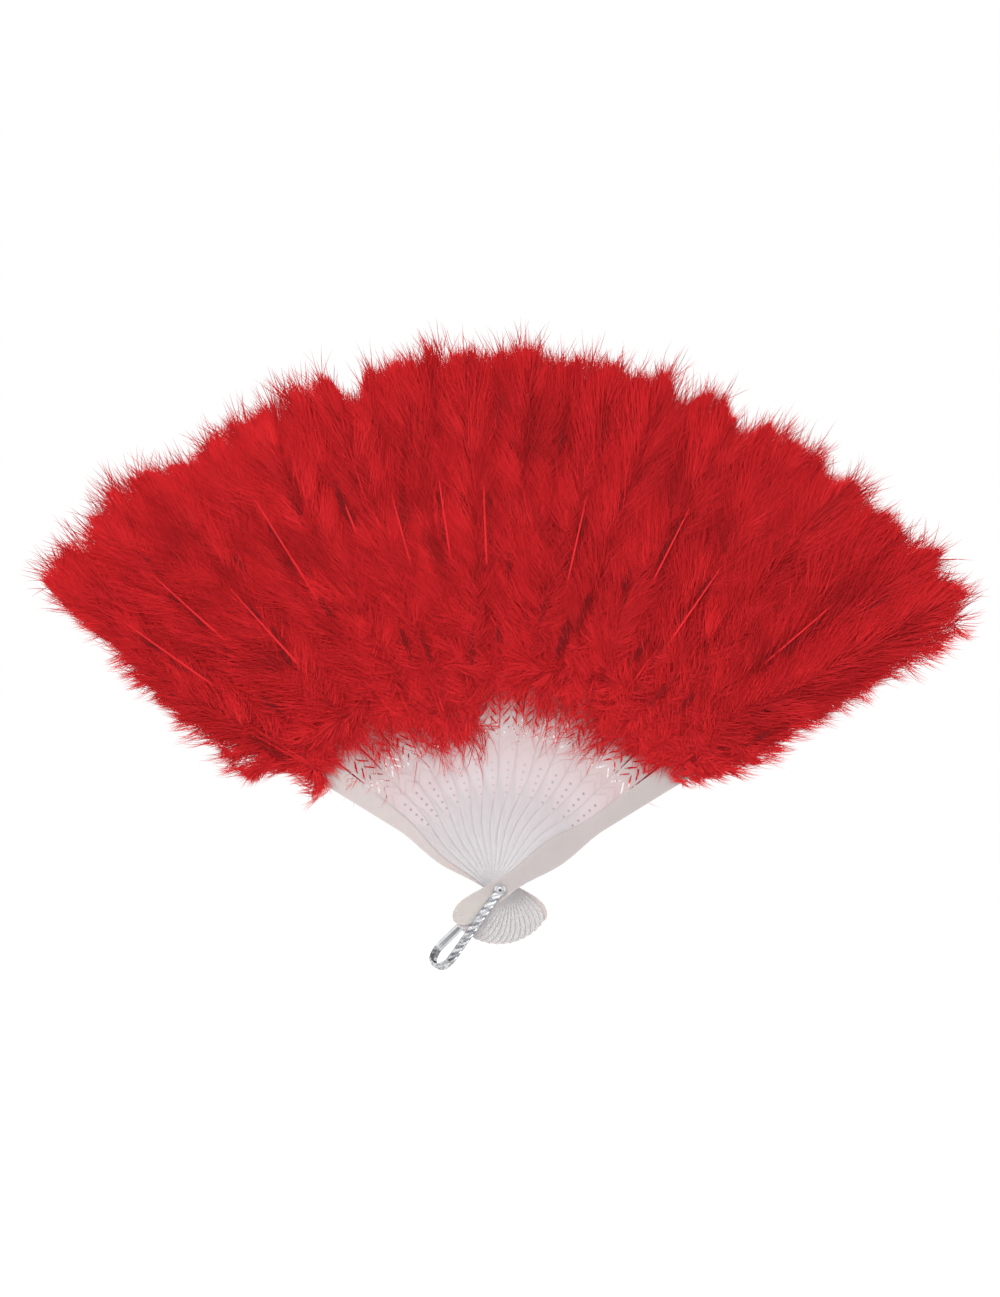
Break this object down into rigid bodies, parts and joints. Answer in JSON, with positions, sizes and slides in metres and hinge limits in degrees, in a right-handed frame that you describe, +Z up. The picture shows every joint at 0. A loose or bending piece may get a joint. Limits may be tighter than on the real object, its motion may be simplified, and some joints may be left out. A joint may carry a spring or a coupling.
{
  "type": "feather folding fan",
  "caption": "Open folding hand fan: pierced milky plastic sticks on one rivet, plain guards, red marabou plumes on both faces and a silvery bail that swings at the rivet.",
  "frame": {"origin": "on the rivet's axis, at the flat rear face of the rivet, where the hand grips the heads", "axes": "+X to the right as seen from the front, +Y to the back along the rivet, +Z up towards the plumes"},
  "size_m": [0.4499, 0.035, 0.3032],
  "materials": {
    "guard_plastic": "satin",
    "stick_plastic": "satin",
    "marabou": "matt",
    "ribbon": "satin",
    "silver": "polished"
  },
  "bodies": {
    "guard_back": {"guard_back": "guard_plastic", "plume_front_00": "marabou", "plume_back_00": "marabou", "rivet": "silver", "stay_ribbon": "ribbon"},
    "stick_01": {"stick_01": "stick_plastic", "plume_front_01": "marabou", "plume_back_01": "marabou"},
    "stick_02": {"stick_02": "stick_plastic", "plume_front_02": "marabou", "plume_back_02": "marabou"},
    "stick_03": {"stick_03": "stick_plastic", "plume_front_03": "marabou", "plume_back_03": "marabou"},
    "stick_04": {"stick_04": "stick_plastic", "plume_front_04": "marabou", "plume_back_04": "marabou"},
    "stick_05": {"stick_05": "stick_plastic", "plume_front_05": "marabou", "plume_back_05": "marabou"},
    "stick_06": {"stick_06": "stick_plastic", "plume_front_06": "marabou", "plume_back_06": "marabou"},
    "stick_07": {"stick_07": "stick_plastic", "plume_front_07": "marabou", "plume_back_07": "marabou"},
    "stick_08": {"stick_08": "stick_plastic", "plume_front_08": "marabou", "plume_back_08": "marabou"},
    "stick_09": {"stick_09": "stick_plastic", "plume_front_09": "marabou", "plume_back_09": "marabou"},
    "stick_10": {"stick_10": "stick_plastic", "plume_front_10": "marabou", "plume_back_10": "marabou"},
    "stick_11": {"stick_11": "stick_plastic", "plume_front_11": "marabou", "plume_back_11": "marabou"},
    "stick_12": {"stick_12": "stick_plastic", "plume_front_12": "marabou", "plume_back_12": "marabou"},
    "stick_13": {"stick_13": "stick_plastic", "plume_front_13": "marabou", "plume_back_13": "marabou"},
    "stick_14": {"stick_14": "stick_plastic", "plume_front_14": "marabou", "plume_back_14": "marabou"},
    "guard_front": {"guard_front": "guard_plastic", "plume_front_15": "marabou", "plume_back_15": "marabou"},
    "bail": {"bail": "silver"}
  },
  "joints": [
    {"name": "fan_fold", "type": "hinge", "parent": "guard_back", "child": "guard_front", "pos_m": [0, 0, 0], "axis": [0, -1, 0], "range_deg": [0, 112.2], "deforming": ["plume_front_00", "plume_back_00", "plume_front_01", "plume_back_01", "plume_front_02", "plume_back_02", "plume_front_03", "plume_back_03", "plume_front_04", "plume_back_04", "plume_front_05", "plume_back_05", "plume_front_06", "plume_back_06", "plume_front_07", "plume_back_07", "plume_front_08", "plume_back_08", "plume_front_09", "plume_back_09", "plume_front_10", "plume_back_10", "plume_front_11", "plume_back_11", "plume_front_12", "plume_back_12", "plume_front_13", "plume_back_13", "plume_front_14", "plume_back_14", "plume_front_15", "plume_back_15", "stay_ribbon"]},
    {"name": "fold_01", "type": "hinge", "parent": "guard_back", "child": "stick_01", "pos_m": [0, 0, 0], "axis": [0, -1, 0], "range_deg": [0, 7.49]},
    {"name": "fold_02", "type": "hinge", "parent": "guard_back", "child": "stick_02", "pos_m": [0, 0, 0], "axis": [0, -1, 0], "range_deg": [0, 14.97]},
    {"name": "fold_03", "type": "hinge", "parent": "guard_back", "child": "stick_03", "pos_m": [0, 0, 0], "axis": [0, -1, 0], "range_deg": [0, 22.45]},
    {"name": "fold_04", "type": "hinge", "parent": "guard_back", "child": "stick_04", "pos_m": [0, 0, 0], "axis": [0, -1, 0], "range_deg": [0, 29.93]},
    {"name": "fold_05", "type": "hinge", "parent": "guard_back", "child": "stick_05", "pos_m": [0, 0, 0], "axis": [0, -1, 0], "range_deg": [0, 37.41]},
    {"name": "fold_06", "type": "hinge", "parent": "guard_back", "child": "stick_06", "pos_m": [0, 0, 0], "axis": [0, -1, 0], "range_deg": [0, 44.89]},
    {"name": "fold_07", "type": "hinge", "parent": "guard_back", "child": "stick_07", "pos_m": [0, 0, 0], "axis": [0, -1, 0], "range_deg": [0, 52.37]},
    {"name": "fold_08", "type": "hinge", "parent": "guard_back", "child": "stick_08", "pos_m": [0, 0, 0], "axis": [0, -1, 0], "range_deg": [0, 59.85]},
    {"name": "fold_09", "type": "hinge", "parent": "guard_back", "child": "stick_09", "pos_m": [0, 0, 0], "axis": [0, -1, 0], "range_deg": [0, 67.33]},
    {"name": "fold_10", "type": "hinge", "parent": "guard_back", "child": "stick_10", "pos_m": [0, 0, 0], "axis": [0, -1, 0], "range_deg": [0, 74.81]},
    {"name": "fold_11", "type": "hinge", "parent": "guard_back", "child": "stick_11", "pos_m": [0, 0, 0], "axis": [0, -1, 0], "range_deg": [0, 82.29]},
    {"name": "fold_12", "type": "hinge", "parent": "guard_back", "child": "stick_12", "pos_m": [0, 0, 0], "axis": [0, -1, 0], "range_deg": [0, 89.77]},
    {"name": "fold_13", "type": "hinge", "parent": "guard_back", "child": "stick_13", "pos_m": [0, 0, 0], "axis": [0, -1, 0], "range_deg": [0, 97.25]},
    {"name": "fold_14", "type": "hinge", "parent": "guard_back", "child": "stick_14", "pos_m": [0, 0, 0], "axis": [0, -1, 0], "range_deg": [0, 104.73]},
    {"name": "bail_swing", "type": "hinge", "parent": "guard_back", "child": "bail", "pos_m": [0, 0, 0], "axis": [0, -1, 0], "range_deg": [-65, 145]}
  ],
  "couplings": [
    {"joint": "fold_01", "follows": "fan_fold", "ratio": 0.066667},
    {"joint": "fold_02", "follows": "fan_fold", "ratio": 0.13333},
    {"joint": "fold_03", "follows": "fan_fold", "ratio": 0.2},
    {"joint": "fold_04", "follows": "fan_fold", "ratio": 0.26667},
    {"joint": "fold_05", "follows": "fan_fold", "ratio": 0.33333},
    {"joint": "fold_06", "follows": "fan_fold", "ratio": 0.4},
    {"joint": "fold_07", "follows": "fan_fold", "ratio": 0.46667},
    {"joint": "fold_08", "follows": "fan_fold", "ratio": 0.53333},
    {"joint": "fold_09", "follows": "fan_fold", "ratio": 0.6},
    {"joint": "fold_10", "follows": "fan_fold", "ratio": 0.66667},
    {"joint": "fold_11", "follows": "fan_fold", "ratio": 0.73333},
    {"joint": "fold_12", "follows": "fan_fold", "ratio": 0.8},
    {"joint": "fold_13", "follows": "fan_fold", "ratio": 0.86667},
    {"joint": "fold_14", "follows": "fan_fold", "ratio": 0.93333}
  ]
}
